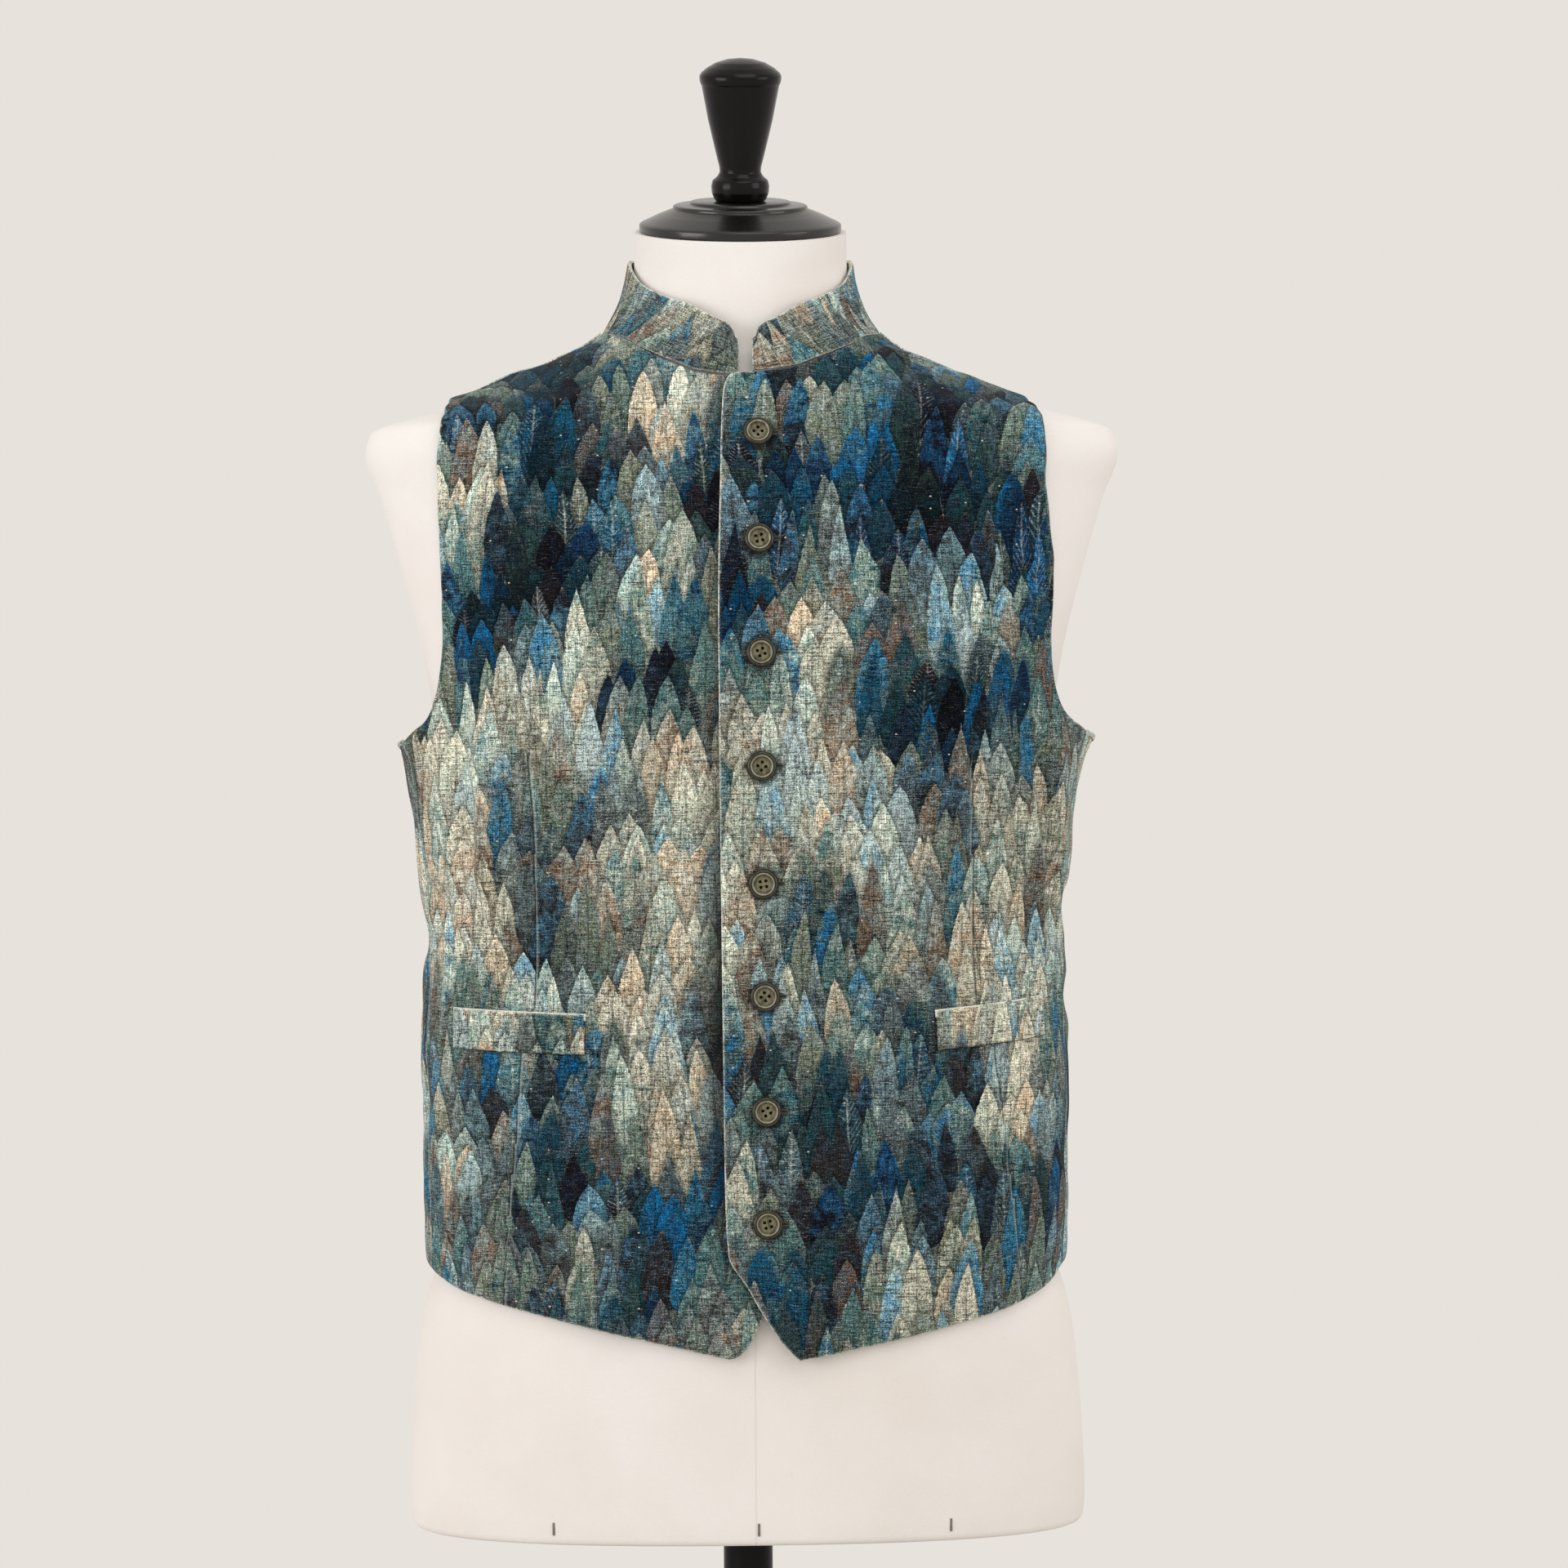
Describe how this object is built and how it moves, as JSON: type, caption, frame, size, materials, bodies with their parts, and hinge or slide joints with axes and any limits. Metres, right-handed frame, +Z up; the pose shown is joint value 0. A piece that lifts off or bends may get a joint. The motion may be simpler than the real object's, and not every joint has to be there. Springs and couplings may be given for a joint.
{
  "type": "nehru jacket on dress form",
  "caption": "Sleeveless stand-collar jacket in printed velvet, buttoned down the front with two welt pockets, on a limbless tailor's dress form with a round foot.",
  "frame": {"origin": "centre of the round foot's underside", "axes": "+Z up, -Y the way the jacket's front faces, +X the wearer's left side"},
  "size_m": [0.459, 0.34, 1.1896],
  "materials": {
    "velvet": "slubby cotton velvet printed in blues, teals, greys and pale mint, short pile with a soft sheen",
    "horn": "polished dark olive-brown horn",
    "canvas": "off-white canvas stretched over a hard shell, matte",
    "lacquer": "turned wood in satin black lacquer",
    "metal": "black enamelled steel, satin"
  },
  "bodies": {
    "root": {"front_right": "velvet", "front_left": "velvet", "back": "velvet", "collar": "velvet", "welt_right": "velvet", "welt_left": "velvet", "button_1": "horn", "button_2": "horn", "button_3": "horn", "button_4": "horn", "button_5": "horn", "button_6": "horn", "button_7": "horn", "button_8": "horn", "form_torso": "canvas", "form_neck_cap": "lacquer", "form_finial": "lacquer", "form_pole": "metal", "form_foot": "metal"}
  },
  "joints": []
}
